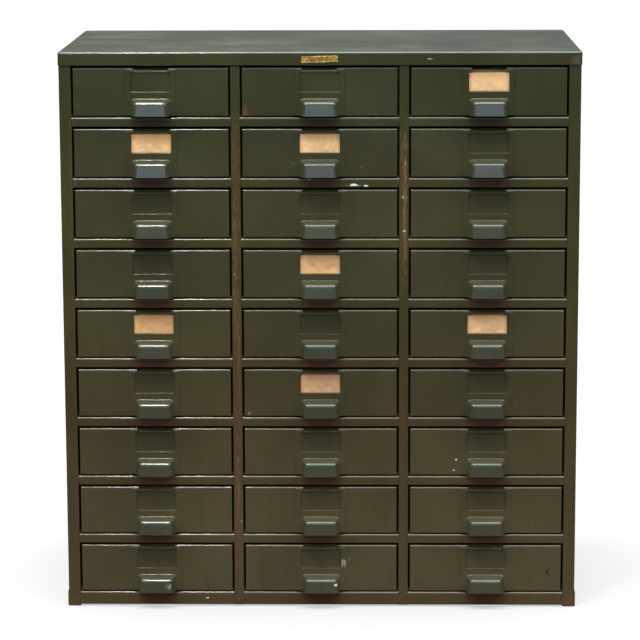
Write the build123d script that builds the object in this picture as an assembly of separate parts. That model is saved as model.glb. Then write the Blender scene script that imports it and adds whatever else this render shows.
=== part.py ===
from build123d import *
import os

# Small-parts cabinet in folded sheet steel: three columns of nine drawers in one case.
# Each drawer is a tray with a double-wall front, a pressed pull plate with a card window, and
# sometimes a paper card. The case is a wrap-around body, a lid, a base pan, partitions, rails
# and runners. Millimetres. The origin is on the floor under the middle of the whole cabinet,
# +X runs to the right of someone facing the drawers, -Y points at them and +Z is up.

os.makedirs("parts", exist_ok=True)

# The grid of openings in the front frame.
columns = 3
rows = 9
column_pitch = 279.4
row_pitch = 101.6
mullion_face = 16.0
stile_face = 20.2
rail_face = 16.0
base_face = 22.6
cover_drop = 22.0
foot_lift = 3.0

# The case. Depth is that of the wrap-around body, without the lid's overlap.
body_depth = 454.4
body_gauge = 1.0
body_bend = 2.0
frame_depth = 16.0
frame_bend = 1.2
rail_gauge = 1.0
rail_setback = 0.2
rail_lip_radius = 3.2
bottom_hem_height = 26.0
bottom_hem_gauge = 1.6
bottom_hem_radius = 1.2
body_floor_gap = 0.4

# The lid over the case.
cover_gauge = 1.2
cover_clearance = 0.1
cover_edge_radius = 2.8
cover_corner_radius = 6.0

# The base pan and its two skids.
pan_gauge = 1.0
skid_width = 30.0
skid_clearance = 1.3

# Partitions and the angle runners that carry the trays.
partition_gauge = 0.8
partition_flange = 6.8
runner_gauge = 1.2
runner_leg = 14.0
runner_overlap = 10.0
runner_end_gap = 2.0
runner_clearance = 0.3

# The drawer front, a pan with its open side at the tray.
side_gap = 3.4
top_gap = 3.2
bottom_gap = 1.6
front_setback = 0.8
front_depth = 14.0
front_gauge = 0.8
front_return = 9.0
front_top_radius = 3.0
front_bend = 1.4
front_side_radius = 0.9

# The sloped scoop in the front's top edge, where a card is slid in.
scoop_width = 59.0
scoop_drop = 6.0
scoop_corner = 4.0

# The tray behind the front, narrower than it by an inset on each side.
tray_inset = 2.3
tray_length = 432.0
tray_height = 70.0
tray_lift = 0.4
tray_gauge = 0.8
tray_bend = 1.8
tray_hem = 8.0
stop_inset = 90.0
stop_length = 18.0
stop_bite = 4.4
stop_clearance = 1.0

# The pull plate on the front: a raised field with a card window above a hood.
plate_width = 85.0
plate_gauge = 0.8
plate_pocket = 0.6
plate_edge = 0.5
plate_slope = 2.6
plate_margin = 1.2
window_width = 66.4
window_height = 32.2
window_drop = 8.2
window_corner = 2.0
card_gauge = 0.4
card_overlap = 1.6
card_stop_height = 1.4

# The hood of the pull, widest at its root on the plate and open below.
hood_lift = 1.3
hood_height = 27.3
hood_reach = 22.0
hood_root_half = 34.4
hood_front_half = 27.4
hood_flare = 0.12
hood_fall = 4.8
hood_lean = 2.2
hood_radius = 6.0
hood_root_radius = 1.0
hood_gauge = 0.9

# The drawers that still hold a card, as (row, column) from the top left.
drawers_with_card = [(1, 3), (2, 1), (2, 2), (4, 2), (5, 1), (5, 3), (6, 2)]

# Sizes that follow from the ones above.
opening_width = column_pitch - mullion_face
opening_height = row_pitch - rail_face
body_width = columns * column_pitch - mullion_face + 2 * stile_face
case_height = foot_lift + base_face + rows * row_pitch - rail_face + cover_drop
frame_half = body_width / 2 - stile_face
cover_lap = cover_gauge + cover_clearance
front_width = opening_width - 2 * side_gap
front_height = opening_height - top_gap - bottom_gap
tray_width = front_width - 2 * tray_inset
plate_raise = plate_pocket + plate_gauge
pull_reach = plate_raise + hood_reach
tray_bottom = bottom_gap + tray_lift
under_cover = case_height - cover_gauge
lowest_runner = foot_lift + base_face + tray_bottom - runner_clearance - runner_leg
flange_top = lowest_runner - skid_clearance

# Planes across the depth. The front frame and the pulls put the origin in the middle.
frame_y = (pull_reach - front_setback - body_depth - cover_lap) / 2
back_y = frame_y + body_depth
frame_back_y = frame_y + frame_depth
face_y = frame_y + front_setback
tray_y = face_y + front_depth
drawer_travel = tray_y + tray_length - stop_inset - frame_back_y - stop_clearance


def block(x, y, z):
    """A box between the low and high value of each axis."""
    middle = Pos((x[0] + x[1]) / 2, (y[0] + y[1]) / 2, (z[0] + z[1]) / 2)
    return middle * Box(x[1] - x[0], y[1] - y[0], z[1] - z[0])


def edges_along(solid, axis, x=None, y=None, z=None):
    """The edges parallel to an axis whose middle lies at the given values."""
    chosen = []
    for edge in solid.edges().filter_by(axis):
        middle = edge.center()
        wanted = ((x, middle.X), (y, middle.Y), (z, middle.Z))
        if all(value is None or abs(value - found) < 0.01 for value, found in wanted):
            chosen.append(edge)
    return chosen


def column_x(column):
    """The middle of a column, counted from the left."""
    return (column - (columns + 1) / 2) * column_pitch


def opening_z(row):
    """The bottom of an opening, counted from the top."""
    return case_height - cover_drop - opening_height - (row - 1) * row_pitch


def save(name, *solids):
    """Writes one node, which may hold several separate solids."""
    export_step(Compound(label=name, children=list(solids)), f"parts/{name}.step")


# ---- case ----


def wrap_around_body():
    """Both sides and the back in one bent sheet, with the stiles folded in at the front."""
    half = body_width / 2
    tall = (body_floor_gap, under_cover)
    outer = block((-half, half), (frame_y, back_y), tall)
    outer = fillet(outer.edges().filter_by(Axis.Z), body_bend)
    inner_half = half - body_gauge
    inner = block((-inner_half, inner_half), (frame_y + body_gauge, back_y - body_gauge), tall)
    inner = fillet(inner.edges().filter_by(Axis.Z), body_bend - body_gauge)
    body = outer - inner
    body -= block((-frame_half, frame_half), (frame_y, frame_y + body_bend), tall)
    for side in (-1, 1):
        inside = side * frame_half
        fold = side * (frame_half + body_gauge)
        body += block(sorted((inside, fold)), (frame_y, frame_back_y), tall)
    for side in (-1, 1):
        lead_edge = edges_along(body, Axis.Z, x=side * frame_half, y=frame_y)
        body = fillet(lead_edge, frame_bend)
    for side in (-1, 1):
        body += bottom_hem(side)
    return body


def bottom_hem(side):
    """The foot of a side panel, folded up on its outside."""
    inner_x = side * body_width / 2
    outer_x = side * (body_width / 2 + bottom_hem_gauge)
    length = (frame_y + body_bend, back_y - body_bend)
    hem = block(sorted((inner_x, outer_x)), length, (body_floor_gap, bottom_hem_height))
    rounded = edges_along(hem, Axis.Y, x=outer_x) + edges_along(hem, Axis.Z, x=outer_x)
    return fillet(rounded, bottom_hem_radius)


def lid():
    """The cover, with a drop all round and a return under its front drop."""
    half = body_width / 2 + cover_lap
    depth = (frame_y - cover_lap, back_y + cover_lap)
    skirt_z = case_height - cover_drop
    outer = block((-half, half), depth, (skirt_z, case_height))
    outer = fillet(outer.edges().filter_by(Axis.Z), cover_corner_radius)
    outer = fillet(outer.edges().group_by(Axis.Z)[-1], cover_edge_radius)
    inner = block(
        (-half + cover_gauge, half - cover_gauge),
        (depth[0] + cover_gauge, depth[1] - cover_gauge),
        (skirt_z - cover_gauge, under_cover),
    )
    inner = fillet(inner.edges().filter_by(Axis.Z), body_bend + cover_clearance)
    lip_y = (depth[0] + cover_gauge / 2, frame_back_y)
    lip = block((-frame_half, frame_half), lip_y, (skirt_z, skirt_z + cover_gauge))
    return outer - inner + lip


def rolled_rail(x, z):
    """A channel open to the back, whose top edge is rolled over where the drawer sits."""
    rail_y = frame_y + rail_setback
    outer = block(x, (rail_y, frame_back_y), z)
    outer = fillet(edges_along(outer, Axis.X, y=rail_y, z=z[1]), rail_lip_radius)
    outer = fillet(edges_along(outer, Axis.X, y=rail_y, z=z[0]), frame_bend)
    inner_z = (z[0] + rail_gauge, z[1] - rail_gauge)
    inner = block(x, (rail_y + rail_gauge, frame_back_y), inner_z)
    top_inside = edges_along(inner, Axis.X, y=rail_y + rail_gauge, z=inner_z[1])
    return outer - fillet(top_inside, rail_lip_radius - rail_gauge)


def front_rails():
    """The rails between one opening and the next, one below each drawer but the last."""
    rails = []
    for row in range(1, rows):
        for column in range(1, columns + 1):
            left = column_x(column) - opening_width / 2
            top = opening_z(row)
            rails.append(rolled_rail((left, left + opening_width), (top - rail_face, top)))
    return rails


def base_pan():
    """The floor of the case, with the bottom rail in front and a skid along each side."""
    floor_top = foot_lift + pan_gauge
    pan = rolled_rail((-frame_half, frame_half), (foot_lift, foot_lift + base_face))
    inside_half = body_width / 2 - body_gauge
    skid_half = inside_half - skid_width
    deck = (-skid_half, skid_half)
    back = back_y - body_gauge
    pan += block(deck, (frame_back_y - pan_gauge, back), (foot_lift, floor_top))
    for column in range(1, columns):
        pan -= mullion_space(column, foot_lift + base_face)
    for side in (-1, 1):
        pan += skid(side, inside_half, (frame_back_y, back - body_bend))
    return pan + block(deck, (back - pan_gauge, back), (foot_lift, flange_top))


def skid(side, outside, length):
    """A channel that drops to the floor, with a flange up the side panel."""
    inside = outside - skid_width
    deck_top = foot_lift + pan_gauge

    def strip(near, far, z):
        return block(sorted((side * near, side * far)), length, z)

    sole = strip(inside, outside, (0, pan_gauge))
    step = strip(inside - pan_gauge, inside, (0, deck_top))
    flange = strip(outside - pan_gauge, outside, (0, flange_top))
    return sole + step + flange


def divider_x(column):
    """The middle of the mullion to the right of a column."""
    return column_x(column) + column_pitch / 2


def mullion_space(column, top):
    """The room that a mullion takes in the front frame."""
    middle = divider_x(column)
    width = (middle - mullion_face / 2, middle + mullion_face / 2)
    return block(width, (frame_y, frame_back_y), (foot_lift, top))


def mullion(column):
    """The channel between two columns, its face flush with the stiles."""
    top = case_height - cover_drop
    outer = mullion_space(column, top)
    front_edges = edges_along(outer, Axis.Z, y=frame_y)
    outer = fillet(front_edges, frame_bend)
    middle = divider_x(column)
    inner_half = mullion_face / 2 - body_gauge
    inner = block(
        (middle - inner_half, middle + inner_half),
        (frame_y + body_gauge, frame_back_y),
        (foot_lift, top),
    )
    return outer - inner


def partition(column):
    """The sheet behind a mullion, with a cap on the mullion and a flange on the back."""
    middle = divider_x(column)
    tall = (foot_lift + pan_gauge, under_cover)
    web = (middle - partition_gauge / 2, middle + partition_gauge / 2)
    cap_y = (frame_back_y, frame_back_y + partition_gauge)
    end = back_y - body_gauge
    panel = block(web, (frame_back_y, end - pan_gauge), tall)
    cap = block((middle - mullion_face / 2, middle + mullion_face / 2), cap_y, tall)
    tab_x = (web[0], web[1] + partition_flange)
    above_pan = (flange_top, under_cover)
    tab = block(tab_x, (end - partition_gauge, end), above_pan)
    join = block(web, (end - pan_gauge, end), above_pan)
    return panel + cap + join + tab


def runner(wall, tip, ledge_top):
    """An angle with its leg on a wall and its ledge reaching under the tray."""
    reach = 1 if tip > wall else -1
    length = (frame_back_y + partition_gauge, back_y - body_gauge - partition_gauge - runner_end_gap)
    ledge = block(sorted((wall, tip)), length, (ledge_top - runner_gauge, ledge_top))
    leg_x = sorted((wall, wall + reach * runner_gauge))
    return ledge + block(leg_x, length, (ledge_top - runner_leg, ledge_top))


def runners():
    """One runner on each side of every drawer."""
    angles = []
    for row in range(1, rows + 1):
        ledge_top = opening_z(row) + tray_bottom - runner_clearance
        for column in range(1, columns + 1):
            for side in (-1, 1):
                middle = column_x(column)
                wall = middle + side * (column_pitch - partition_gauge) / 2
                if (side < 0 and column == 1) or (side > 0 and column == columns):
                    wall = side * (body_width / 2 - body_gauge)
                tip = middle + side * (tray_width / 2 - runner_overlap)
                angles.append(runner(wall, tip, ledge_top))
    return angles


# ---- drawer, built at x = 0 with its opening's bottom at z = 0 ----


def front_block(inset):
    """The front's outer form, or with an inset the hollow inside its sheet."""
    half = front_width / 2 - inset
    low = bottom_gap + inset
    high = bottom_gap + front_height - inset
    solid = block((-half, half), (face_y + inset, tray_y - inset), (low, high))
    solid = fillet(edges_along(solid, Axis.X, y=face_y + inset, z=high), front_top_radius - inset)
    solid = fillet(edges_along(solid, Axis.X, y=face_y + inset, z=low), front_bend - inset)
    if inset:
        return solid
    for end in (0, -1):
        outline = solid.faces().sort_by(Axis.X)[end].edges()
        rounded = [edge for edge in outline if edge.center().Y < tray_y - front_gauge]
        solid = fillet(rounded, front_side_radius)
    return solid


def scoop(grow=0):
    """The wedge that the scoop takes out of the front's top edge, or a larger one around it."""
    half = scoop_width / 2 + grow
    far = 3 * scoop_drop
    wedge = block((-half, half), (-far, far), (-grow, far))
    low_corners = edges_along(wedge, Axis.Y, z=-grow)
    wedge = fillet(low_corners, scoop_corner + grow)
    middle_z = bottom_gap + front_height - scoop_drop / 2
    return Pos(0, face_y + scoop_drop / 2, middle_z) * Rot(X=45) * wedge


def drawer_front():
    """The outer sheet of the double-wall front, with returns that the tray's front wall closes."""
    front = front_block(0) - scoop() - (front_block(front_gauge) - scoop(front_gauge))
    half = tray_width / 2 - front_return
    gap_z = (tray_bottom + front_return, tray_bottom + tray_height - front_return)
    return front - block((-half, half), (tray_y - 2 * front_gauge, tray_y), gap_z)


def tray():
    """The open box behind the front, hemmed along its rim, with an upright stop each side."""
    half = tray_width / 2
    low, high = tray_bottom, tray_bottom + tray_height
    back = tray_y + tray_length
    box = block((-half, half), (tray_y, back), (low, high))
    box = fillet(box.edges().filter_by(Axis.Z), tray_bend)
    box = fillet(box.edges().group_by(Axis.Z)[0], tray_bend)
    hem_low = high - tray_hem
    for wall, z in ((tray_gauge, (low + tray_gauge, hem_low)), (2 * tray_gauge, (hem_low, high))):
        room = block((-half + wall, half - wall), (tray_y + wall, back - wall), z)
        upright = room.edges().filter_by(Axis.Z)
        box -= fillet(upright, tray_bend - tray_gauge / 2)
    stop_y = (back - stop_inset, back - stop_inset + stop_length)
    stop_z = (hem_low, opening_height + stop_bite)
    for side in (-1, 1):
        box += block(sorted((side * half, side * (half - tray_gauge))), stop_y, stop_z)
    return box


def plate_profile():
    """The plate's section from above: a shallow channel whose back leaves the card's pocket."""
    half = plate_width / 2
    front_y = face_y - plate_raise
    pocket_y = face_y - plate_pocket
    outer = [(half, face_y), (half, face_y - plate_edge), (half - plate_slope, front_y)]
    inner = [(half - plate_slope - plate_pocket, pocket_y), (half - plate_slope, face_y)]
    left = [(-x, y) for x, y in reversed(outer)]
    left_inner = [(-x, y) for x, y in reversed(inner)]
    return make_face(Polyline(*outer, *left, *left_inner, *inner, close=True))


def pull_plate():
    """The raised plate with the card window, and the hood that fingers go under."""
    low = bottom_gap + plate_margin
    high = bottom_gap + front_height - front_top_radius
    plate = Pos(0, 0, low) * extrude(plate_profile(), high - low, dir=(0, 0, 1))
    room = (face_y - 2 * plate_raise, face_y)
    half = window_width / 2
    window_top = bottom_gap + front_height - window_drop
    window = block((-half, half), room, (window_top - window_height, window_top))
    plate -= fillet(window.edges().filter_by(Axis.Y), window_corner)
    plate -= scoop(front_gauge)
    stop_top = window_top - window_height - card_overlap
    stop_z = (stop_top - card_stop_height, stop_top)
    plate += block((-half, half), (face_y - plate_raise + plate_gauge / 2, face_y), stop_z)
    pull = plate + hood()
    root_top = bottom_gap + hood_lift + hood_height
    root_line = edges_along(pull, Axis.X, y=face_y - plate_raise, z=root_top)
    return fillet(root_line, hood_root_radius)


def hood():
    """The hood in sheet, open below and towards the plate."""
    return hood_form(0) - hood_form(hood_gauge)


def hood_form(inset):
    """The hood as a block with its bends rounded, or with an inset the hollow under it."""
    root_y = face_y - plate_raise + inset
    foot_z = bottom_gap + hood_lift
    floor_z = foot_z - inset
    narrowing = (hood_root_half - hood_front_half) / hood_reach

    def outline(reach_low, reach_high):
        tall = hood_height - hood_fall * reach_high / hood_reach - inset
        low_half = hood_root_half - narrowing * reach_low - inset
        high_half = hood_root_half - narrowing * reach_high - hood_flare * tall - inset
        low_y, high_y = face_y - plate_raise - reach_low, face_y - plate_raise - reach_high
        corners = [(-low_half, low_y, floor_z), (low_half, low_y, floor_z)]
        corners += [(x, high_y, foot_z + tall) for x in (high_half, -high_half)]
        return make_face(Polyline(*corners, close=True))

    reach = hood_reach - inset
    form = loft([outline(-inset, -inset), outline(reach, reach - hood_lean)], ruled=True)
    bends = []
    for edge in form.edges():
        middle = edge.center()
        if middle.Y < root_y - 0.01 and middle.Z > floor_z + 0.01:
            bends.append(edge)
    return fillet(bends, hood_radius - inset)


def card():
    """The paper card behind the window, standing on the plate's stop."""
    half = window_width / 2 + card_overlap
    top = bottom_gap + front_height - window_drop
    bottom = top - window_height - card_overlap
    return block((-half, half), (face_y - card_gauge, face_y), (bottom, top))


if __name__ == "__main__":
    save("case_body", wrap_around_body())
    save("top_cover", lid())
    save("base_pan", base_pan())
    dividers = range(1, columns)
    save("partitions", *[mullion(c) for c in dividers], *[partition(c) for c in dividers])
    save("front_rails", *front_rails())
    save("drawer_runners", *runners())
    shapes = {"front": drawer_front(), "tray": tray(), "plate": pull_plate(), "card": card()}
    for row in range(1, rows + 1):
        for column in range(1, columns + 1):
            place = Pos(column_x(column), 0, opening_z(row))
            name = f"drawer_r{row}c{column}"
            save(f"{name}_tray", place * shapes["tray"], place * shapes["front"])
            pull = [place * shapes["plate"]]
            if (row, column) in drawers_with_card:
                pull.append(place * shapes["card"])
            save(f"{name}_pull_plate", *pull)
    print("travel", round(drawer_travel, 1), "height", round(case_height, 1))
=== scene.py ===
import math

import bpy
from mathutils import Euler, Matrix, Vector


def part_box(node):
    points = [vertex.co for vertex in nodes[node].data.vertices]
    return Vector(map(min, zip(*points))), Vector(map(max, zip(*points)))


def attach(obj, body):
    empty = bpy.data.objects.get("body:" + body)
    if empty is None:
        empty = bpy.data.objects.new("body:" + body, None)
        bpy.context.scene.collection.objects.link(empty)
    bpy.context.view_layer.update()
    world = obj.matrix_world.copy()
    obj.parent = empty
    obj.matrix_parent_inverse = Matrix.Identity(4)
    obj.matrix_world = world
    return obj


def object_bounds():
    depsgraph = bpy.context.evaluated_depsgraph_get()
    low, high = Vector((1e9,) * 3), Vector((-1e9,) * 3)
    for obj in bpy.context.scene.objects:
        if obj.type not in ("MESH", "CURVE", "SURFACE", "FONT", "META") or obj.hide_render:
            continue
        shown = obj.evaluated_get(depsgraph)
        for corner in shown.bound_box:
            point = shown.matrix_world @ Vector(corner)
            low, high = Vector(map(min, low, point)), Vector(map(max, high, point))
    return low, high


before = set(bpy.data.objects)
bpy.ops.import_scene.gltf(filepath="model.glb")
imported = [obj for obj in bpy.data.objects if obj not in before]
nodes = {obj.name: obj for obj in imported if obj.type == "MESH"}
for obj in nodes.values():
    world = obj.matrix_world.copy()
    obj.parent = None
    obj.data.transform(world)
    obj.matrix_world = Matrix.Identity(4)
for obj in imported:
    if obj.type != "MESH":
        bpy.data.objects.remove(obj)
cadLow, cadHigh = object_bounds()
print("frame loaded,", len(nodes), "CAD nodes")

# the drawer grid, and places read from the frame
rowCount = 9


def middleOf(node):
    low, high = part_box(node)
    return (low + high) / 2


def drawerName(row, column):
    return f"drawer_r{row}c{column}"


columnPitch = middleOf("drawer_r1c2_tray").x - middleOf("drawer_r1c1_tray").x
rowPitch = middleOf("drawer_r1c1_tray").z - middleOf("drawer_r2c1_tray").z
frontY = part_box("drawer_r1c1_tray")[0].y    # outer face of every drawer front
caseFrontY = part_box("case_body")[0].y
lidLow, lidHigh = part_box("top_cover")
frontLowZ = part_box("drawer_r9c2_tray")[0].z    # foot of the lowest drawer front


def linear(hexColor, alpha=1.0):
    # sRGB hex to the linear colour that the shader sockets hold
    out = []
    for i in (1, 3, 5):
        c = int(hexColor[i:i + 2], 16) / 255
        out.append(c / 12.92 if c <= 0.04045 else ((c + 0.055) / 1.055) ** 2.4)
    return (*out, alpha)


def addNode(tree, kind, settings=None, links=None):
    # a node with its settings; a link's value is a socket to join or a constant
    node = tree.nodes.new(kind)
    for key, value in (settings or {}).items():
        setattr(node, key, value)
    for key, value in (links or {}).items():
        if isinstance(value, bpy.types.NodeSocket):
            tree.links.new(value, node.inputs[key])
        else:
            node.inputs[key].default_value = value
    return node


def newMaterial(name):
    material = bpy.data.materials.new(name)
    material.use_nodes = True
    tree = material.node_tree
    tree.nodes.clear()
    return material, tree


def setRamp(node, stops):
    # stops are (place, colour), from low to high
    ramp = node.color_ramp
    while len(ramp.elements) < len(stops):
        ramp.elements.new(0.5)
    for element, (place, color) in zip(ramp.elements, stops):
        element.position = place
        element.color = color


# camera, where the photograph's perspective puts it
camera = {
    "place": (0.0805, -4.7186, 1.3377),
    "tilt": 0.1845,        # radians below the horizon
    "turn": 0.018,         # radians to the left
    "roll": -0.0032,
    "lens": 153.8,         # mm on a 36 mm sensor
}


def makeCamera(settings):
    data = bpy.data.cameras.new("camera")
    data.sensor_width = 36
    data.lens = settings["lens"]
    data.clip_end = 100
    eye = bpy.data.objects.new("camera", data)
    bpy.context.scene.collection.objects.link(eye)
    turn = Euler((math.pi / 2 - settings["tilt"], 0, settings["turn"])).to_matrix()
    eye.rotation_euler = (turn @ Euler((0, 0, settings["roll"])).to_matrix()).to_euler()
    eye.location = settings["place"]
    bpy.context.scene.camera = eye


makeCamera(camera)

# studio: a bright ceiling over a dim room, two soft boxes at the sides and a cool window far in front
studio = {
    "floorSize": 60.0,
    "floorGrey": 0.03,        # what the cabinet gets back from the floor
    "floorSeen": 0.14,        # what the camera sees of it, with its own light below
    "floorLift": 0.52,
    "floorInGloss": 0.04,     # share of the pale floor that glossy paint shows
    "keyBox": {"place": (-0.56, -1.73, 4.15), "aim": (0, -0.2, 0.5), "size": (0.35, 0.35), "watts": 75,
               "color": "#fffaf4"},
    "leftBox": {"place": (-2.7, -1.3, 3.0), "aim": (0, -0.2, 0.5), "size": (0.9, 0.9), "watts": 62,
                "color": "#fffaf2"},
    "rightBox": {"place": (2.7, -1.3, 3.0), "aim": (0, -0.2, 0.5), "size": (0.9, 0.9), "watts": 62,
                 "color": "#fffaf2"},
    "window": {"place": (0.0, -6.4, 1.65), "aim": (0, 0, 1.1), "size": (5.5, 1.4), "watts": 68,
               "color": "#b9cbe6"},
    "sky": [(-90, "#060505"), (-2, "#090908"), (2, "#15171a"), (14, "#1a1d21"), (24, "#55585c"),
            (50, "#6b6e72"), (57, "#9da1a6"), (63, "#f2f6fb"), (90, "#ffffff")],    # degrees up, colour
    "skyStrength": 11.0,
}


def makeLamp(name, settings):
    data = bpy.data.lights.new(name, "AREA")
    data.shape = "RECTANGLE"
    data.size, data.size_y = settings["size"]
    data.energy = settings["watts"]
    data.color = linear(settings["color"])[:3]
    lamp = bpy.data.objects.new(name, data)
    bpy.context.scene.collection.objects.link(lamp)
    lamp.location = settings["place"]
    aim = Vector(settings["aim"]) - Vector(settings["place"])
    lamp.rotation_euler = aim.to_track_quat("-Z", "Y").to_euler()


def seenDirectly(tree, path, settings):
    # 1 for what the camera or clear glass sees, a small share for what gloss shows
    direct = addNode(tree, "ShaderNodeMath", {"operation": "MAXIMUM"}, {
        0: path.outputs["Is Camera Ray"], 1: path.outputs["Is Transmission Ray"]})
    gloss = addNode(tree, "ShaderNodeMath", {"operation": "MULTIPLY"}, {
        0: path.outputs["Is Glossy Ray"], 1: settings["floorInGloss"]})
    return addNode(tree, "ShaderNodeMath", {"operation": "MAXIMUM"}, {
        0: direct.outputs[0], 1: gloss.outputs[0]}).outputs[0]


def makeFloor(settings):
    half = settings["floorSize"] / 2
    mesh = bpy.data.meshes.new("floor")
    corners = [(-half, -half, 0), (half, -half, 0), (half, half, 0), (-half, half, 0)]
    mesh.from_pydata(corners, [], [(0, 1, 2, 3)])
    floor = bpy.data.objects.new("floor", mesh)
    bpy.context.scene.collection.objects.link(floor)
    material, tree = newMaterial("paintedStudioFloor")
    path = addNode(tree, "ShaderNodeLightPath")
    grey = settings["floorGrey"]
    seen = settings["floorSeen"]
    plain = addNode(tree, "ShaderNodeBsdfDiffuse", links={"Color": (grey, grey, grey, 1)})
    # the camera sees the shaded floor lifted to near white, so the shadow stays
    bright = addNode(tree, "ShaderNodeBsdfDiffuse", links={"Color": (seen, seen, seen, 1)})
    lift = addNode(tree, "ShaderNodeEmission", links={
        "Color": (1, 1, 1, 1), "Strength": settings["floorLift"]})
    shown = addNode(tree, "ShaderNodeAddShader", links={0: bright.outputs[0], 1: lift.outputs[0]})
    mix = addNode(tree, "ShaderNodeMixShader", links={
        "Fac": seenDirectly(tree, path, settings), 1: plain.outputs[0], 2: shown.outputs[0]})
    addNode(tree, "ShaderNodeOutputMaterial", links={"Surface": mix.outputs[0]})
    mesh.materials.append(material)


def makeWorld(settings):
    world = bpy.data.worlds.new("studio")
    bpy.context.scene.world = world
    world.use_nodes = True
    tree = world.node_tree
    tree.nodes.clear()
    coords = addNode(tree, "ShaderNodeTexCoord")
    split = addNode(tree, "ShaderNodeSeparateXYZ", links={0: coords.outputs["Generated"]})
    climb = addNode(tree, "ShaderNodeMath", {"operation": "ARCSINE"}, {0: split.outputs["Z"]})
    height = addNode(tree, "ShaderNodeMapRange", links={
        "Value": climb.outputs[0], "From Min": -math.pi / 2, "From Max": math.pi / 2})
    sky = addNode(tree, "ShaderNodeValToRGB", links={"Fac": height.outputs[0]})
    setRamp(sky, [((degrees + 90) / 180, linear(color)) for degrees, color in settings["sky"]])
    path = addNode(tree, "ShaderNodeLightPath")
    around = addNode(tree, "ShaderNodeBackground", links={
        "Color": sky.outputs[0], "Strength": settings["skyStrength"]})
    white = addNode(tree, "ShaderNodeBackground", links={"Color": (1, 1, 1, 1), "Strength": 1.0})
    mix = addNode(tree, "ShaderNodeMixShader", links={
        "Fac": seenDirectly(tree, path, settings), 1: around.outputs[0], 2: white.outputs[0]})
    addNode(tree, "ShaderNodeOutputWorld", links={"Surface": mix.outputs[0]})


makeFloor(studio)
makeWorld(studio)
for lampName in ("keyBox", "leftBox", "rightBox", "window"):
    makeLamp(lampName, studio[lampName])
bpy.context.scene.view_settings.view_transform = "Standard"
print("camera and studio made")

# enamel settings for each kind of piece: colours from the top of the cabinet to its foot, which carry painted
# light as well as age, then marks of wear, each with its middle (x, z), its half width and half height in
# metres
caseEnamel = {
    "colors": ["#2f3119", "#353318", "#3a3018", "#443a23"],
    "roughness": 0.11,
    "bend": 0.0016,
    "wear": 0.75,
    "rust": 0.6,
    # grey on faces that look up: partly dust, partly a painted reflection of the bright ceiling
    "dustAndSheenAmount": 0.08,
    # amount of reddish-brown painted shade under the hoods, partly grime
    "underHoods": 0.6,
    "marks": [
        {"at": (-0.1397, 0.765), "half": (0.0075, 0.06), "color": "#4a3820", "amount": 0.8,
         "fray": "streaky"},
        {"at": (-0.1397, 0.64), "half": (0.0085, 0.06), "color": "#4d3a21", "amount": 0.8, "fray": "streaky"},
        {"at": (-0.1405, 0.5), "half": (0.008, 0.1), "color": "#4b381f", "amount": 0.9, "fray": "streaky"},
        {"at": (-0.139, 0.33), "half": (0.0085, 0.09), "color": "#493621", "amount": 0.8, "fray": "streaky"},
        {"at": (-0.1402, 0.14), "half": (0.009, 0.11), "color": "#4d3925", "amount": 0.8, "fray": "streaky"},
        {"at": (-0.1425, 0.61), "half": (0.0018, 0.12), "color": "#644c30", "amount": 0.5, "fray": "streaky"},
        {"at": (-0.137, 0.44), "half": (0.002, 0.07), "color": "#5f482c", "amount": 0.5, "fray": "streaky"},
        {"at": (-0.14, 0.215), "half": (0.0022, 0.06), "color": "#664a33", "amount": 0.5, "fray": "streaky"},
        {"at": (0.1395, 0.742), "half": (0.007, 0.06), "color": "#4e3b24", "amount": 0.9, "fray": "streaky"},
        {"at": (0.1402, 0.64), "half": (0.0075, 0.06), "color": "#4a3821", "amount": 0.9, "fray": "streaky"},
        {"at": (0.141, 0.69), "half": (0.0022, 0.09), "color": "#75593c", "amount": 0.6, "fray": "streaky"},
        {"at": (0.1397, 0.33), "half": (0.007, 0.09), "color": "#43321c", "amount": 0.6, "fray": "streaky"},
        {"at": (-0.1397, 0.014), "half": (0.015, 0.01), "color": "#4c3827", "amount": 0.6},
        {"at": (0.1397, 0.014), "half": (0.015, 0.01), "color": "#4c3827", "amount": 0.6},
        {"at": (0.0585, 0.7243), "half": (0.02, 0.0008), "color": "#b5b2a0", "amount": 0.95},
        {"at": (0.056, 0.7259), "half": (0.0065, 0.0016), "color": "#dddaca", "amount": 1.0},
        {"at": (0.0765, 0.724), "half": (0.0034, 0.0013), "color": "#cfccba", "amount": 1.0},
        {"at": (-0.017, 0.735), "half": (0.0036, 0.0014), "color": "#c8c6b4", "amount": 0.9},
        {"at": (0.14, 0.648), "half": (0.0034, 0.001), "color": "#cdc9b4", "amount": 0.95},
        {"at": (0.138, 0.705), "half": (0.001, 0.003), "color": "#b8ab8c", "amount": 0.8},
        {"at": (0.142, 0.762), "half": (0.0012, 0.003), "color": "#ab9a78", "amount": 0.7},
        {"at": (-0.143, 0.575), "half": (0.0012, 0.0018), "color": "#b3a382", "amount": 0.8},
        {"at": (-0.135, 0.15), "half": (0.0012, 0.003), "color": "#a5907a", "amount": 0.7},
        {"at": (-0.194, 0.0145), "half": (0.0032, 0.0015), "color": "#b9b6a2", "amount": 0.9},
        {"at": (0.182, 0.9345), "half": (0.005, 0.0007), "color": "#a9a893", "amount": 0.8},
        {"at": (0.423, 0.931), "half": (0.015, 0.01), "color": "#634d40", "amount": 0.7, "soft": True},
        {"at": (-0.425, 0.006), "half": (0.022, 0.02), "color": "#4f3826", "amount": 0.7, "soft": True},
        {"at": (0.425, 0.006), "half": (0.024, 0.026), "color": "#573b28", "amount": 0.8, "soft": True},
        {"at": (0.417, 0.2), "half": (0.008, 0.1), "color": "#453320", "amount": 0.5, "soft": True},
        {"at": (-0.41, 0.71), "half": (0.005, 0.13), "color": "#4b3a24", "amount": 0.6, "fray": "streaky"},
        {"at": (-0.04, 0.012), "half": (0.12, 0.008), "color": "#43301f", "amount": 0.6, "fray": "streaky"},
    ],
}
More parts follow.
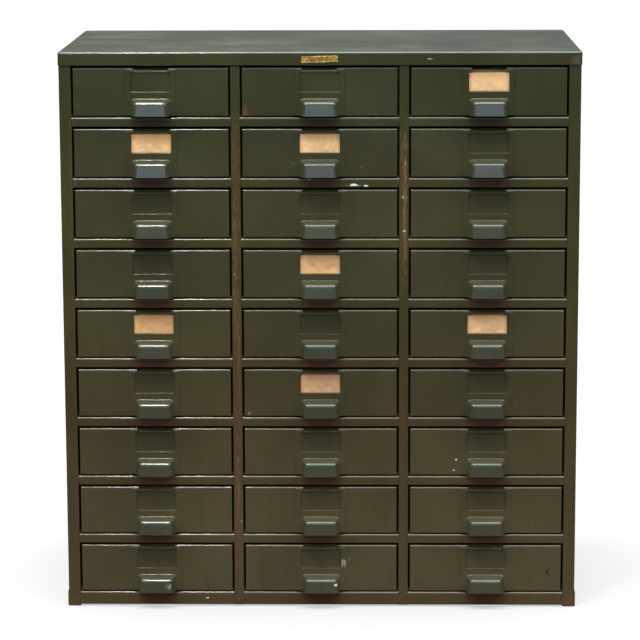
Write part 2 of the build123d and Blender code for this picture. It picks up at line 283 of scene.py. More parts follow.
drawerEnamel = {
    "colors": ["#2f311b", "#36341f", "#3b351f", "#463e28"],
    "roughness": 0.14,
    "bend": 0.0012,
    "wear": 0.35,
    "rust": 0.3,
    "dustAndSheenAmount": 0.0,
    "underHoods": 0.0,
    "marks": [
        {"at": (-0.127, 0.84), "half": (0.016, 0.019), "color": "#61401f", "amount": 0.85, "soft": True},
        {"at": (0.2287, 0.2574), "half": (0.0018, 0.0017), "color": "#dcd8c8", "amount": 1.0},
        {"at": (0.225, 0.2388), "half": (0.0017, 0.0021), "color": "#dcd8c8", "amount": 1.0},
        {"at": (0.2456, 0.2812), "half": (0.001, 0.0016), "color": "#cfcbb8", "amount": 0.9},
        {"at": (-0.1206, 0.3373), "half": (0.002, 0.004), "color": "#8a7c5c", "amount": 0.7},
        {"at": (0.048, 0.084), "half": (0.0012, 0.0012), "color": "#cfccba", "amount": 0.9},
        {"at": (0.385, 0.06), "half": (0.0018, 0.0034), "color": "#20150d", "amount": 0.9},
        {"at": (0.166, 0.044), "half": (0.01, 0.008), "color": "#2b2216", "amount": 0.5, "soft": True},
        {"at": (0.069, 0.756), "half": (0.0012, 0.0012), "color": "#8f8a70", "amount": 0.8},
        {"at": (-0.044, 0.762), "half": (0.003, 0.0016), "color": "#6f6c55", "amount": 0.6},
        {"at": (0.36, 0.145), "half": (0.006, 0.005), "color": "#5a503a", "amount": 0.4, "soft": True},
        {"at": (-0.205, 0.26), "half": (0.007, 0.006), "color": "#2e2a1c", "amount": 0.5, "soft": True},
    ],
}
pullEnamel = {
    "colors": ["#2f311b", "#36341f", "#3b351f", "#463e28"],
    "hood": "#313427",
    "roughness": 0.12,
    "bend": 0.0014,
    "wear": 0.3,
    "rust": 0.15,
    "dustAndSheenAmount": 0.0,
    "underHoods": 0.0,
    "marks": [
        {"at": (0.0385, 0.077), "half": (0.005, 0.006), "color": "#8d8a74", "amount": 0.7, "fray": "streaky"},
        {"at": (0.025, 0.0435), "half": (0.0044, 0.0034), "color": "#d3d4c4", "amount": 1.0},
        {"at": (-0.261, 0.04), "half": (0.007, 0.0035), "color": "#8b8972", "amount": 0.6, "fray": "streaky"},
        {"at": (0.248, 0.281), "half": (0.0009, 0.0014), "color": "#cfcbb8", "amount": 0.9},
    ],
}


markDepth = 0.03    # how far a mark reaches from the plane of the drawer fronts


def addMark(tree, coords, frays, below, mark):
    # one worn spot on the front with a frayed edge; below is the colour socket it covers
    halfX, halfZ = mark["half"]
    scale = (1 / halfX, 1 / markDepth, 1 / halfZ)
    middle = (mark["at"][0], frontY, mark["at"][1])
    near = addNode(tree, "ShaderNodeVectorMath", {"operation": "MULTIPLY_ADD"}, {
        0: coords, 1: scale, 2: tuple(-m * s for m, s in zip(middle, scale))})
    reach = addNode(tree, "ShaderNodeVectorMath", {"operation": "LENGTH"}, {0: near.outputs[0]})
    frayed = addNode(tree, "ShaderNodeMath", {"operation": "ADD"}, {
        0: reach.outputs["Value"], 1: frays[mark.get("fray", "ragged")]})
    rim, core = (1.2, 0.1) if mark.get("soft") else (1.05, 0.75)
    inside = addNode(tree, "ShaderNodeMapRange", links={
        "Value": frayed.outputs[0], "From Min": rim, "From Max": core,
        "To Min": 0.0, "To Max": mark["amount"]})
    return addNode(tree, "ShaderNodeMix", {"data_type": "RGBA"}, {
        "Factor": inside.outputs[0], 6: below, 7: linear(mark["color"])}).outputs[2]


def stovedEnamel(name, settings):
    # olive stoving enamel sprayed on folded sheet steel: glossy at the bends, browner and lighter low down
    # (partly age, partly painted warm bounce light), rubbed through to brown at upright edges and chipped
    # here and there
    material, tree = newMaterial(name)
    coords = addNode(tree, "ShaderNodeTexCoord").outputs["Object"]
    split = addNode(tree, "ShaderNodeSeparateXYZ", links={0: coords})
    height = addNode(tree, "ShaderNodeMapRange", links={
        "Value": split.outputs["Z"], "From Min": 0.0, "From Max": cadHigh.z})
    # painted light: the ramp makes the colour darker and cooler towards the top and lighter and warmer
    # towards the foot, as the light falls, on top of age browning
    paint = addNode(tree, "ShaderNodeValToRGB", links={"Fac": height.outputs[0]})
    top, upper, lower, foot = (linear(c) for c in settings["colors"])
    setRamp(paint, [(0.05, foot), (0.35, lower), (0.7, upper), (0.95, top)])

    color = paint.outputs[0]
    if "hood" in settings:
        # hands have kept the hoods clean, so they are greener than the plates behind them
        proud = addNode(tree, "ShaderNodeMapRange", links={
            "Value": split.outputs["Y"], "From Min": frontY - 0.002, "From Max": frontY - 0.004,
            "To Min": 0.0, "To Max": 0.8})
        color = addNode(tree, "ShaderNodeMix", {"data_type": "RGBA"}, {
            "Factor": proud.outputs[0], 6: color, 7: linear(settings["hood"])}).outputs[2]

    # cloudy patches about 120 mm across, and a tone of its own for each cell of the grid
    cloud = addNode(tree, "ShaderNodeTexNoise", links={
        "Vector": coords, "Scale": 8.0, "Detail": 5.0, "Roughness": 0.6})
    cloudy = addNode(tree, "ShaderNodeMapRange", links={
        "Value": cloud.outputs["Fac"], "From Min": 0.3, "From Max": 0.7, "To Min": 0.87, "To Max": 1.13})
    cell = addNode(tree, "ShaderNodeVectorMath", {"operation": "MULTIPLY_ADD"}, {
        0: coords, 1: (1 / columnPitch, 0, 1 / rowPitch), 2: (0.5, 0, -frontLowZ / rowPitch)})
    corner = addNode(tree, "ShaderNodeVectorMath", {"operation": "FLOOR"}, {0: cell.outputs[0]})
    chance = addNode(tree, "ShaderNodeTexWhiteNoise", {"noise_dimensions": "3D"}, {
        "Vector": corner.outputs[0]})
    ownTone = addNode(tree, "ShaderNodeMapRange", links={
        "Value": chance.outputs["Value"], "To Min": 0.93, "To Max": 1.07})
    toneScale = addNode(tree, "ShaderNodeMath", {"operation": "MULTIPLY"}, {
        0: cloudy.outputs[0], 1: ownTone.outputs[0]})
    tone = addNode(tree, "ShaderNodeVectorMath", {"operation": "SCALE"}, {
        0: color, "Scale": toneScale.outputs[0]})

    # grime runs down in streaks about 10 mm wide
    stretch = addNode(tree, "ShaderNodeMapping", links={"Vector": coords, "Scale": (90.0, 90.0, 7.0)})
    streak = addNode(tree, "ShaderNodeTexNoise", links={
        "Vector": stretch.outputs[0], "Scale": 1.0, "Detail": 4.0, "Roughness": 0.65})
    streaky = addNode(tree, "ShaderNodeMapRange", links={
        "Value": streak.outputs["Fac"], "From Min": 0.52, "From Max": 0.75, "To Min": 0.0, "To Max": 0.3})
    grimy = addNode(tree, "ShaderNodeMix", {"data_type": "RGBA"}, {
        "Factor": streaky.outputs[0], 6: tone.outputs[0], 7: linear("#33260f")})

    # the bend's rounded normal finds every edge of the sheet; upright ones are rubbed brown
    bend = addNode(tree, "ShaderNodeBevel", {"samples": 6}, {"Radius": settings["bend"]})
    face = addNode(tree, "ShaderNodeNewGeometry")
    facing = addNode(tree, "ShaderNodeVectorMath", {"operation": "DOT_PRODUCT"}, {
        0: bend.outputs[0], 1: face.outputs["True Normal"]})
    edge = addNode(tree, "ShaderNodeMapRange", links={
        "Value": facing.outputs["Value"], "From Min": 0.995, "From Max": 0.85})
    turned = addNode(tree, "ShaderNodeSeparateXYZ", links={0: bend.outputs[0]})
    sideways = addNode(tree, "ShaderNodeMath", {"operation": "MULTIPLY"}, {
        0: turned.outputs["X"], 1: turned.outputs["X"]})
    upright = addNode(tree, "ShaderNodeMapRange", links={
        "Value": sideways.outputs[0], "From Min": 0.02, "From Max": 0.25, "To Min": 0.12, "To Max": 1.0})
    rub = addNode(tree, "ShaderNodeTexNoise", links={
        "Vector": coords, "Scale": 90.0, "Detail": 6.0, "Roughness": 0.75})
    rubbed = addNode(tree, "ShaderNodeMapRange", links={
        "Value": rub.outputs["Fac"], "From Min": 0.48, "From Max": 0.6, "To Min": 0.0,
        "To Max": settings["wear"]})
    edgeWear = addNode(tree, "ShaderNodeMath", {"operation": "MULTIPLY"}, {
        0: edge.outputs[0], 1: rubbed.outputs[0]})
    uprightWear = addNode(tree, "ShaderNodeMath", {"operation": "MULTIPLY"}, {
        0: edgeWear.outputs[0], 1: upright.outputs[0]})
    worn = addNode(tree, "ShaderNodeMix", {"data_type": "RGBA"}, {
        "Factor": uprightWear.outputs[0], 6: grimy.outputs[2], 7: linear("#6a4f38")})

    # rust blooms and small chips, a few millimetres across
    bloom = addNode(tree, "ShaderNodeTexNoise", links={
        "Vector": coords, "Scale": 26.0, "Detail": 8.0, "Roughness": 0.72})
    rusty = addNode(tree, "ShaderNodeMapRange", links={
        "Value": bloom.outputs["Fac"], "From Min": 0.66, "From Max": 0.74, "To Min": 0.0,
        "To Max": settings["rust"]})
    rusted = addNode(tree, "ShaderNodeMix", {"data_type": "RGBA"}, {
        "Factor": rusty.outputs[0], 6: worn.outputs[2], 7: linear("#452c18")})
    chip = addNode(tree, "ShaderNodeTexNoise", links={
        "Vector": coords, "Scale": 210.0, "Detail": 3.0, "Roughness": 0.6})
    chipped = addNode(tree, "ShaderNodeMapRange", links={
        "Value": chip.outputs["Fac"], "From Min": 0.76, "From Max": 0.78, "To Min": 0.0, "To Max": 0.6})
    color = addNode(tree, "ShaderNodeMix", {"data_type": "RGBA"}, {
        "Factor": chipped.outputs[0], 6: rusted.outputs[2], 7: linear("#8d866b")}).outputs[2]
    ragged = addNode(tree, "ShaderNodeMapRange", links={
        "Value": rub.outputs["Fac"], "From Min": 0.3, "From Max": 0.7, "To Min": -0.45, "To Max": 0.75})
    thin = addNode(tree, "ShaderNodeMapping", links={"Vector": coords, "Scale": (420.0, 420.0, 60.0)})
    fleck = addNode(tree, "ShaderNodeTexNoise", links={
        "Vector": thin.outputs[0], "Scale": 1.0, "Detail": 4.0, "Roughness": 0.65})
    streakyFray = addNode(tree, "ShaderNodeMapRange", links={
        "Value": fleck.outputs["Fac"], "From Min": 0.35, "From Max": 0.65, "To Min": -0.9, "To Max": 0.8})
    frays = {"ragged": ragged.outputs[0], "streaky": streakyFray.outputs[0]}
    for mark in settings["marks"]:
        color = addMark(tree, coords, frays, color, mark)

    # reddish-brown painted shade on the rails under each hood, standing in for the hoods' shadow with warm
    # bounce in it, partly old grime, strongest low down
    inCell = addNode(tree, "ShaderNodeVectorMath", {"operation": "FRACTION"}, {0: cell.outputs[0]})
    cellParts = addNode(tree, "ShaderNodeSeparateXYZ", links={0: inCell.outputs[0]})
    offMiddle = addNode(tree, "ShaderNodeMath", {"operation": "SUBTRACT"}, {
        0: cellParts.outputs["X"], 1: 0.5})
    aside = addNode(tree, "ShaderNodeMath", {"operation": "ABSOLUTE"}, {0: offMiddle.outputs[0]})
    acrossRail = addNode(tree, "ShaderNodeMapRange", links={
        "Value": aside.outputs[0], "From Min": 0.125, "From Max": 0.095,
        "To Min": 0.0, "To Max": settings["underHoods"]})
    onRail = addNode(tree, "ShaderNodeMapRange", links={
        "Value": cellParts.outputs["Z"], "From Min": 0.78, "From Max": 0.86})
    lowDown = addNode(tree, "ShaderNodeMapRange", links={
        "Value": split.outputs["Z"], "From Min": 0.92, "From Max": 0.45})
    inFront = addNode(tree, "ShaderNodeMapRange", links={
        "Value": split.outputs["Y"], "From Min": caseFrontY + 0.016, "From Max": caseFrontY + 0.012})
    onFront = addNode(tree, "ShaderNodeMath", {"operation": "MULTIPLY"}, {
        0: onRail.outputs[0], 1: inFront.outputs[0]})
    hoodShadow = addNode(tree, "ShaderNodeMath", {"operation": "MULTIPLY"}, {
        0: acrossRail.outputs[0], 1: onFront.outputs[0]})
    hoodShadowLow = addNode(tree, "ShaderNodeMath", {"operation": "MULTIPLY"}, {
        0: hoodShadow.outputs[0], 1: lowDown.outputs[0]})
    color = addNode(tree, "ShaderNodeMix", {"data_type": "RGBA"}, {
        "Factor": hoodShadowLow.outputs[0], 6: color, 7: linear("#6b3518")}).outputs[2]

    # grey laid on whatever faces up: partly real dust, partly a painted reflection standing in for the sheen
    # of the lid's top
    lying = addNode(tree, "ShaderNodeSeparateXYZ", links={0: face.outputs["True Normal"]})
    level = addNode(tree, "ShaderNodeMapRange", links={
        "Value": lying.outputs["Z"], "From Min": 0.95, "From Max": 0.995})
    drift = addNode(tree, "ShaderNodeMapRange", links={
        "Value": cloud.outputs["Fac"], "From Min": 0.3, "From Max": 0.7,
        "To Min": 0.6 * settings["dustAndSheenAmount"], "To Max": 1.4 * settings["dustAndSheenAmount"]})
    dustAndSheen = addNode(tree, "ShaderNodeMath", {"operation": "MULTIPLY"}, {
        0: level.outputs[0], 1: drift.outputs[0]})
    color = addNode(tree, "ShaderNodeMix", {"data_type": "RGBA"}, {
        "Factor": dustAndSheen.outputs[0], 6: color, 7: linear("#5f6463")}).outputs[2]

    # rubbed and grimy places are duller or shinier than the sprayed ones
    base = settings["roughness"]
    gloss = addNode(tree, "ShaderNodeMapRange", links={
        "Value": cloud.outputs["Fac"], "From Min": 0.3, "From Max": 0.7,
        "To Min": base - 0.03, "To Max": base + 0.06})
    dull = addNode(tree, "ShaderNodeMath", {"operation": "MULTIPLY_ADD"}, {
        0: rusty.outputs[0], 1: 0.5, 2: gloss.outputs[0]})
    matt = addNode(tree, "ShaderNodeMath", {"operation": "MULTIPLY_ADD"}, {
        0: dustAndSheen.outputs[0], 1: 0.8, 2: dull.outputs[0]})

    # orange peel of the spray, drawn at 4 mm, with slow waves of the sheet under it
    peel = addNode(tree, "ShaderNodeTexNoise", links={"Vector": coords, "Scale": 260.0, "Detail": 2.0})
    wave = addNode(tree, "ShaderNodeTexNoise", links={"Vector": coords, "Scale": 11.0, "Detail": 1.0})
    wavy = addNode(tree, "ShaderNodeBump", links={
        "Strength": 0.25, "Distance": 0.004, "Height": wave.outputs["Fac"], "Normal": bend.outputs[0]})
    peeled = addNode(tree, "ShaderNodeBump", links={
        "Strength": 0.1, "Distance": 0.0005, "Height": peel.outputs["Fac"], "Normal": wavy.outputs[0]})
    pitted = addNode(tree, "ShaderNodeBump", {"invert": True}, {
        "Strength": 0.5, "Distance": 0.0003, "Height": chipped.outputs[0], "Normal": peeled.outputs[0]})
    shader = addNode(tree, "ShaderNodeBsdfPrincipled", links={
        "Base Color": color, "Roughness": matt.outputs[0], "IOR": 1.5,
        "Normal": pitted.outputs[0]})
    addNode(tree, "ShaderNodeOutputMaterial", links={"Surface": shader.outputs[0]})
    return material


caseFinish = stovedEnamel("stovedEnamelCase", caseEnamel)
drawerFinish = stovedEnamel("stovedEnamelDrawer", drawerEnamel)
pullFinish = stovedEnamel("stovedEnamelPull", pullEnamel)


def dress(node, material):
    mesh = nodes[node].data
    mesh.materials.clear()
    mesh.materials.append(material)


for node in nodes:
    if node.endswith("_pull_plate"):
        dress(node, pullFinish)
    elif node.endswith("_tray"):
        dress(node, drawerFinish)
    else:
        dress(node, caseFinish)
print("enamel on every CAD node")


def addPiece(name, verts, faces, material, smooth=True):
    # a plain mesh object at the origin, with its place in its mesh
    mesh = bpy.data.meshes.new(name)
    mesh.from_pydata(verts, [], faces)
    mesh.materials.append(material)
    if smooth:
        mesh.shade_smooth()
    mesh.update()
    piece = bpy.data.objects.new(name, mesh)
    bpy.context.scene.collection.objects.link(piece)
    return piece


# paper cards, bowed a little between the plate and the drawer front
cards = {
    "width": 0.0692,
    "height": 0.0338,
    "belowPlateTop": 0.0046,
    "behindPlate": 0.00042,    # ahead of the drawer front
    "thick": 0.00014,
    "bow": 0.0004,
    "wave": 0.35,              # share of the bow
    "steps": (28, 14),
    "stock": {                 # row and column, colour of the stock
        (1, 3): "#c9a574", (2, 1): "#d9ae77", (2, 2): "#dcb380", (4, 2): "#d9a874",
        (5, 1): "#d29f6a", (5, 3): "#d6a977", (6, 2): "#c5976e",
    },
}


def manilaCard(name, color, middle, settings):
    # manila card, calendered and gone brown: matt, mottled, dirtiest round its rim
    material, tree = newMaterial(name)
    coords = addNode(tree, "ShaderNodeTexCoord").outputs["Object"]
    halves = (settings["width"] / 2, 1.0, settings["height"] / 2)
    local = addNode(tree, "ShaderNodeVectorMath", {"operation": "MULTIPLY_ADD"}, {
        0: coords, 1: tuple(1 / h for h in halves), 2: tuple(-m / h for m, h in zip(middle, halves))})
    split = addNode(tree, "ShaderNodeSeparateXYZ", links={0: local.outputs[0]})
    mottle = addNode(tree, "ShaderNodeTexNoise", links={
        "Vector": coords, "Scale": 85.0, "Detail": 5.0, "Roughness": 0.62})
    light = addNode(tree, "ShaderNodeMapRange", links={
        "Value": mottle.outputs["Fac"], "From Min": 0.3, "From Max": 0.7, "To Min": 0.78, "To Max": 1.24})
    stock = addNode(tree, "ShaderNodeVectorMath", {"operation": "SCALE"}, {
        0: linear(color)[:3], "Scale": light.outputs[0]})

    # the upper half is darkened orange-brown: partly a damp stain, partly the shadow of the hood above
    # painted on
    rise = addNode(tree, "ShaderNodeMath", {"operation": "MULTIPLY_ADD"}, {
        0: mottle.outputs["Fac"], 1: 2.2, 2: split.outputs["Z"]})
    stainAndShadow = addNode(tree, "ShaderNodeMapRange", links={
        "Value": rise.outputs[0], "From Min": 1.3, "From Max": 2.0, "To Min": 0.0, "To Max": 0.55})
    stainedAndShaded = addNode(tree, "ShaderNodeMix", {"data_type": "RGBA"}, {
        "Factor": stainAndShadow.outputs[0], 6: stock.outputs[0], 7: linear("#a06a3c")})

    # grime that fingers left along the rim, and soft grey smudges
    width = addNode(tree, "ShaderNodeMath", {"operation": "ABSOLUTE"}, {0: split.outputs["X"]})
    height = addNode(tree, "ShaderNodeMath", {"operation": "ABSOLUTE"}, {0: split.outputs["Z"]})
    rim = addNode(tree, "ShaderNodeMath", {"operation": "SMOOTH_MAX"}, {
        0: width.outputs[0], 1: height.outputs[0], 2: 0.2})
    fray = addNode(tree, "ShaderNodeMath", {"operation": "MULTIPLY_ADD"}, {
        0: mottle.outputs["Fac"], 1: 0.4, 2: rim.outputs[0]})
    grime = addNode(tree, "ShaderNodeMapRange", links={
        "Value": fray.outputs[0], "From Min": 1.0, "From Max": 1.25, "To Min": 0.0, "To Max": 0.6})
    dirty = addNode(tree, "ShaderNodeMix", {"data_type": "RGBA"}, {
        "Factor": grime.outputs[0], 6: stainedAndShaded.outputs[2], 7: linear("#6e4a2a")})
    smudge = addNode(tree, "ShaderNodeTexNoise", links={
        "Vector": coords, "Scale": 190.0, "Detail": 3.0, "Roughness": 0.55})
    smudged = addNode(tree, "ShaderNodeMapRange", links={
        "Value": smudge.outputs["Fac"], "From Min": 0.6, "From Max": 0.75, "To Min": 0.0, "To Max": 0.4})
    finish = addNode(tree, "ShaderNodeMix", {"data_type": "RGBA"}, {
        "Factor": smudged.outputs[0], 6: dirty.outputs[2], 7: linear("#6f5a48")})
    fibre = addNode(tree, "ShaderNodeTexNoise", links={
        "Vector": coords, "Scale": 1400.0, "Detail": 2.0})    # fibres, drawn at 0.7 mm
    fuzzy = addNode(tree, "ShaderNodeBump", links={
        "Strength": 0.2, "Distance": 0.0001, "Height": fibre.outputs["Fac"]})
    shader = addNode(tree, "ShaderNodeBsdfPrincipled", links={
        "Base Color": finish.outputs[2], "Roughness": 0.7, "IOR": 1.45, "Normal": fuzzy.outputs[0]})
    addNode(tree, "ShaderNodeOutputMaterial", links={"Surface": shader.outputs[0]})
    return material


def makeCard(row, column, color, settings):
    drawer = drawerName(row, column)
    plate = f"{drawer}_pull_plate"
    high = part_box(plate)[1]
    middle = (middleOf(plate).x, high.y, high.z - settings["belowPlateTop"] - settings["height"] / 2)
    across, up = settings["steps"]
    verts = []
    for side in (0, 1):
        for j in range(up + 1):
            for i in range(across + 1):
                u, v = 2 * i / across - 1, 2 * j / up - 1
                hump = (1 - u ** 4) * (1 - v ** 4)
                # each card waves in its own way
                wave = settings["wave"] * math.sin(2.2 * u + row) * math.cos(1.7 * v + column)
                bow = settings["bow"] * hump * (1 + wave)
                verts.append((
                    middle[0] + u * settings["width"] / 2,
                    middle[1] - settings["behindPlate"] - side * settings["thick"] - bow,
                    middle[2] + v * settings["height"] / 2))
    perRow = across + 1
    sheet = perRow * (up + 1)
    faces = []
    for j in range(up):
        for i in range(across):
            a = j * perRow + i
            faces.append((a + 1, a, a + perRow, a + perRow + 1))
            faces.append((sheet + a, sheet + a + 1, sheet + a + perRow + 1, sheet + a + perRow))
    rim = list(range(across + 1)) + [j * perRow + across for j in range(1, up + 1)]
    rim += [up * perRow + i for i in range(across - 1, -1, -1)] + [j * perRow for j in range(up - 1, 0, -1)]
    for a, b in zip(rim, rim[1:] + rim[:1]):
        faces.append((a, b, sheet + b, sheet + a))
    material = manilaCard(f"manilaCard_r{row}c{column}", color, middle, settings)
    piece = addPiece(f"card_r{row}c{column}", verts, faces, material)
    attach(piece, drawer)


for (row, column), color in cards["stock"].items():
    makeCard(row, column, color, cards)
print("cards made")

# small brass plate on the lid's front drop, pinned at both ends
namePlate = {
    "width": 0.0605,
    "height": 0.0106,
    "turn": 1.7,              # degrees, right end up
    "thick": 0.0006,
    "corner": 0.0009,
    "leastCorner": 0.0003,
    "edge": 0.00015,
    "border": 0.0009,
    "sunk": 0.0001,
    "middleZ": 0.934,
    "pinSpacing": 0.0557,
    "pinRadius": 0.0011,
    "pinRise": 0.0005,
}


def tarnishedBrass(name):
    # rolled brass sheet, lacquered once and now tarnished: satin, with brown bloom in patches
    material, tree = newMaterial(name)
    coords = addNode(tree, "ShaderNodeTexCoord").outputs["Object"]
    bloom = addNode(tree, "ShaderNodeTexNoise", links={
        "Vector": coords, "Scale": 240.0, "Detail": 6.0, "Roughness": 0.7})
    color = addNode(tree, "ShaderNodeValToRGB", links={"Fac": bloom.outputs["Fac"]})
    setRamp(color, [(0.36, linear("#5d4520")), (0.48, linear("#a98843")), (0.62, linear("#d4b568"))])

    # polish lasts along the rim, and the field inside it has gone brown in blotches
    middle = (0.0, lidLow.y, namePlate["middleZ"])
    border = namePlate["border"]
    field = (namePlate["width"] / 2 - border, 1.0, namePlate["height"] / 2 - border)
    local = addNode(tree, "ShaderNodeVectorMath", {"operation": "MULTIPLY_ADD"}, {
        0: coords, 1: tuple(1 / f for f in field), 2: tuple(-m / f for m, f in zip(middle, field))})
    parts = addNode(tree, "ShaderNodeSeparateXYZ", links={0: local.outputs[0]})
    wide = addNode(tree, "ShaderNodeMath", {"operation": "ABSOLUTE"}, {0: parts.outputs["X"]})
    tall = addNode(tree, "ShaderNodeMath", {"operation": "ABSOLUTE"}, {0: parts.outputs["Z"]})
    rim = addNode(tree, "ShaderNodeMath", {"operation": "MAXIMUM"}, {0: wide.outputs[0], 1: tall.outputs[0]})
    blotch = addNode(tree, "ShaderNodeMath", {"operation": "MULTIPLY_ADD"}, {
        0: bloom.outputs["Fac"], 1: 0.8, 2: rim.outputs[0]})
    inField = addNode(tree, "ShaderNodeMapRange", links={
        "Value": blotch.outputs[0], "From Min": 1.4, "From Max": 0.9, "To Min": 0.0, "To Max": 0.65})
    aged = addNode(tree, "ShaderNodeMix", {"data_type": "RGBA"}, {
        "Factor": inField.outputs[0], 6: color.outputs[0], 7: linear("#6f5426")})
    grain = addNode(tree, "ShaderNodeMapping", links={"Vector": coords, "Scale": (150.0, 150.0, 2600.0)})
    roll = addNode(tree, "ShaderNodeTexNoise", links={
        "Vector": grain.outputs[0], "Scale": 1.0, "Detail": 3.0})    # rolling lines, drawn at 0.4 mm
    dull = addNode(tree, "ShaderNodeMapRange", links={
        "Value": bloom.outputs["Fac"], "From Min": 0.35, "From Max": 0.65, "To Min": 0.6, "To Max": 0.4})
    lined = addNode(tree, "ShaderNodeBump", links={
        "Strength": 0.3, "Distance": 0.00008, "Height": roll.outputs["Fac"]})
    shader = addNode(tree, "ShaderNodeBsdfPrincipled", links={
        "Base Color": aged.outputs[2], "Metallic": 0.75, "Roughness": dull.outputs[0],
        "Normal": lined.outputs[0]})
    addNode(tree, "ShaderNodeOutputMaterial", links={"Surface": shader.outputs[0]})
    return material


brassFinish = tarnishedBrass("tarnishedBrass")


def roundedLoop(halfWidth, halfHeight, radius, y, middleZ, steps=5):
    # a rounded rectangle seen from the front, clockwise from the top right
    points = []
    for cornerX, cornerZ, start in ((1, 1, 90), (1, -1, 0), (-1, -1, -90), (-1, 1, -180)):
        for step in range(steps + 1):
            angle = math.radians(start - 90 * step / steps)
            points.append((
                cornerX * (halfWidth - radius) + radius * math.cos(angle), y,
                middleZ + cornerZ * (halfHeight - radius) + radius * math.sin(angle)))
    return points


def turnedOnPlate(point):
    # the plate was pinned on a little askew, so its points turn about its middle
    angle = math.radians(namePlate["turn"])
    x, y, z = point
    up = z - namePlate["middleZ"]
    return (x * math.cos(angle) - up * math.sin(angle), y,
            namePlate["middleZ"] + x * math.sin(angle) + up * math.cos(angle))


def makeNamePlate(settings):
    back = lidLow.y
    front = back - settings["thick"]
    wide, tall = settings["width"] / 2, settings["height"] / 2
    edge, border = settings["edge"], settings["border"]
    loops = []
    for inset, y in ((0, back), (0, front + edge), (edge, front), (border, front),
                     (border + edge, front + settings["sunk"])):
        radius = max(settings["corner"] - inset, settings["leastCorner"])
        loops.append(roundedLoop(wide - inset, tall - inset, radius, y, settings["middleZ"]))
    count = len(loops[0])
    verts = [turnedOnPlate(point) for loop in loops for point in loop]
    faces = [tuple(range(count)), tuple(reversed(range(len(verts) - count, len(verts))))]
    for ring in range(len(loops) - 1):
        for i in range(count):
            j = (i + 1) % count
            a, b = ring * count + i, ring * count + j
            faces.append((a, a + count, b + count, b))
    piece = addPiece("brass_plate", verts, faces, brassFinish, smooth=False)
    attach(piece, "case")


makeNamePlate(namePlate)


def newGeometryTree(name, inputs):
    # a Geometry Nodes tree with named inputs; returns the tree and its group input
    tree = bpy.data.node_groups.new(name, "GeometryNodeTree")
    tree.interface.new_socket("Geometry", in_out="INPUT", socket_type="NodeSocketGeometry")
    for label, kind in inputs:
        tree.interface.new_socket(label, in_out="INPUT", socket_type=kind)
    tree.interface.new_socket("Geometry", in_out="OUTPUT", socket_type="NodeSocketGeometry")
    return tree, addNode(tree, "NodeGroupInput")


def growPiece(name, points, tree, values, body, facings=None):
    # runs a tree on loose points, keeps the plain mesh and drops the modifier
    mesh = bpy.data.meshes.new(name)
    mesh.from_pydata(points, [], [])
    if facings:
        facing = mesh.attributes.new("facing", "FLOAT_VECTOR", "POINT")
        for item, value in zip(facing.data, facings):
            item.vector = value
    piece = bpy.data.objects.new(name, mesh)
    bpy.context.scene.collection.objects.link(piece)
    modifier = piece.modifiers.new("grow", "NODES")
    modifier.node_group = tree
    for socket in tree.interface.items_tree:
        if socket.in_out == "INPUT" and socket.name in values:
            modifier[socket.identifier] = values[socket.name]
    evaluated = piece.evaluated_get(bpy.context.evaluated_depsgraph_get())
    piece.data = bpy.data.meshes.new_from_object(evaluated)
    piece.modifiers.clear()
    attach(piece, body)
    return piece


def pinTree():
    # a domed head on every point, its lower half sunk in the plate
    tree, given = newGeometryTree("drivePins", [
        ("Head Radius", "NodeSocketFloat"), ("Head Rise", "NodeSocketFloat"),
        ("Finish", "NodeSocketMaterial")])
    ball = addNode(tree, "GeometryNodeMeshUVSphere", links={"Segments": 20, "Rings": 12, "Radius": 1.0})
    smooth = addNode(tree, "GeometryNodeSetShadeSmooth", links={"Geometry": ball.outputs["Mesh"]})
    size = addNode(tree, "ShaderNodeCombineXYZ", links={
        "X": given.outputs["Head Radius"], "Y": given.outputs["Head Rise"],
        "Z": given.outputs["Head Radius"]})
    heads = addNode(tree, "GeometryNodeInstanceOnPoints", links={
        "Points": given.outputs["Geometry"], "Instance": smooth.outputs["Geometry"],
        "Scale": size.outputs[0]})
    real = addNode(tree, "GeometryNodeRealizeInstances", links={0: heads.outputs[0]})
    coated = addNode(tree, "GeometryNodeSetMaterial", links={
        "Geometry": real.outputs[0], "Material": given.outputs["Finish"]})
    addNode(tree, "NodeGroupOutput", links={0: coated.outputs[0]})
    return tree


plateFront = lidLow.y - namePlate["thick"]
pinPoints = [
    turnedOnPlate((side * namePlate["pinSpacing"] / 2, plateFront, namePlate["middleZ"])) for side in (-1, 1)]
growPiece("brass_plate_pins", pinPoints, pinTree(), {
    "Head Radius": namePlate["pinRadius"], "Head Rise": namePlate["pinRise"], "Finish": brassFinish,
}, "case")
print("brass plate made")

# rings that the spot welds left in the side and back sheets
spotWelds = {
    "radius": 0.0027,
    "ridge": 0.0005,
    "rise": 0.5,              # height of the ridge as a share of its width
    "lap": 0.0013,            # the lid stands this far outside the sheet
    "belowFront": 0.0069,     # runner's middle under the foot of a drawer front
    "sideDepths": (0.045, 0.225, 0.405),    # from the front frame
    "backStep": 0.075,
    "backOffset": 0.0036,     # beside the partition's middle
}


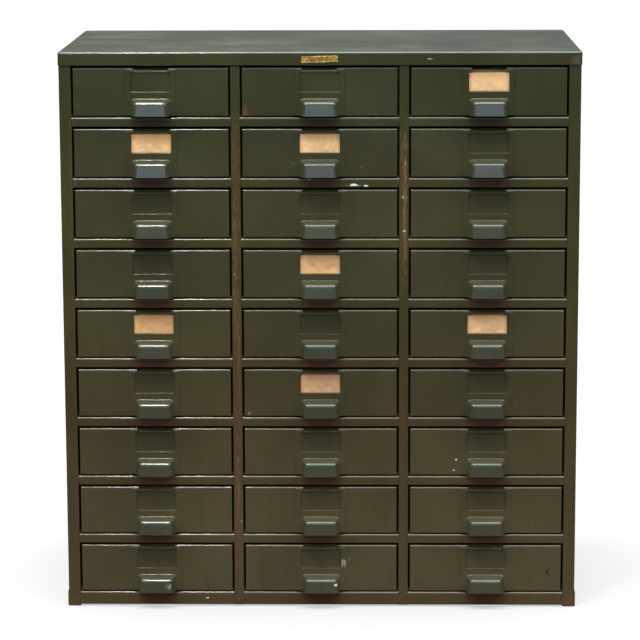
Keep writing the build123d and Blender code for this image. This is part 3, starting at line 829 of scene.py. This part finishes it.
def weldTree():
    # a flat ring on every point, turned to face out of the sheet
    tree, given = newGeometryTree("spotWeldRings", [
        ("Ring Radius", "NodeSocketFloat"), ("Ridge Radius", "NodeSocketFloat"),
        ("Ridge Rise", "NodeSocketFloat"), ("Finish", "NodeSocketMaterial")])
    path = addNode(tree, "GeometryNodeCurvePrimitiveCircle", links={
        "Resolution": 16, "Radius": given.outputs["Ring Radius"]})
    section = addNode(tree, "GeometryNodeCurvePrimitiveCircle", links={
        "Resolution": 6, "Radius": given.outputs["Ridge Radius"]})
    ring = addNode(tree, "GeometryNodeCurveToMesh", links={
        "Curve": path.outputs["Curve"], "Profile Curve": section.outputs["Curve"]})
    flat = addNode(tree, "ShaderNodeCombineXYZ", links={
        "X": 1.0, "Y": 1.0, "Z": given.outputs["Ridge Rise"]})
    pressed = addNode(tree, "GeometryNodeTransform", links={
        "Geometry": ring.outputs[0], "Scale": flat.outputs[0]})
    smooth = addNode(tree, "GeometryNodeSetShadeSmooth", links={"Geometry": pressed.outputs[0]})
    facing = addNode(tree, "GeometryNodeInputNamedAttribute", {"data_type": "FLOAT_VECTOR"}, {
        "Name": "facing"})
    turn = addNode(tree, "FunctionNodeAlignRotationToVector", {"axis": "Z"}, {
        "Vector": facing.outputs[0]})
    rings = addNode(tree, "GeometryNodeInstanceOnPoints", links={
        "Points": given.outputs["Geometry"], "Instance": smooth.outputs[0], "Rotation": turn.outputs[0]})
    real = addNode(tree, "GeometryNodeRealizeInstances", links={0: rings.outputs[0]})
    coated = addNode(tree, "GeometryNodeSetMaterial", links={
        "Geometry": real.outputs[0], "Material": given.outputs["Finish"]})
    addNode(tree, "NodeGroupOutput", links={0: coated.outputs[0]})
    return tree


def weldPlaces(settings):
    # along the runners in both sides, and up both partitions in the back
    points, facings = [], []
    sideX = lidHigh.x - settings["lap"]
    backY = lidHigh.y - settings["lap"]
    frameY = lidLow.y + settings["lap"]
    for row in range(1, rowCount + 1):
        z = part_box(drawerName(row, 1) + "_tray")[0].z - settings["belowFront"]
        for depth in settings["sideDepths"]:
            for side in (-1, 1):
                points.append((side * sideX, frameY + depth, z))
                facings.append((side, 0, 0))
    z = 2 * settings["backStep"]
    while z < lidLow.z - settings["backStep"] / 2:
        for side in (-1, 1):
            points.append((side * columnPitch / 2 + settings["backOffset"], backY, z))
            facings.append((0, 1, 0))
        z += settings["backStep"]
    return points, facings


weldPoints, weldFacings = weldPlaces(spotWelds)
growPiece("spot_weld_rings", weldPoints, weldTree(), {
    "Ring Radius": spotWelds["radius"], "Ridge Radius": spotWelds["ridge"],
    "Ridge Rise": spotWelds["rise"], "Finish": caseFinish,
}, "case", weldFacings)
print("spot welds made")
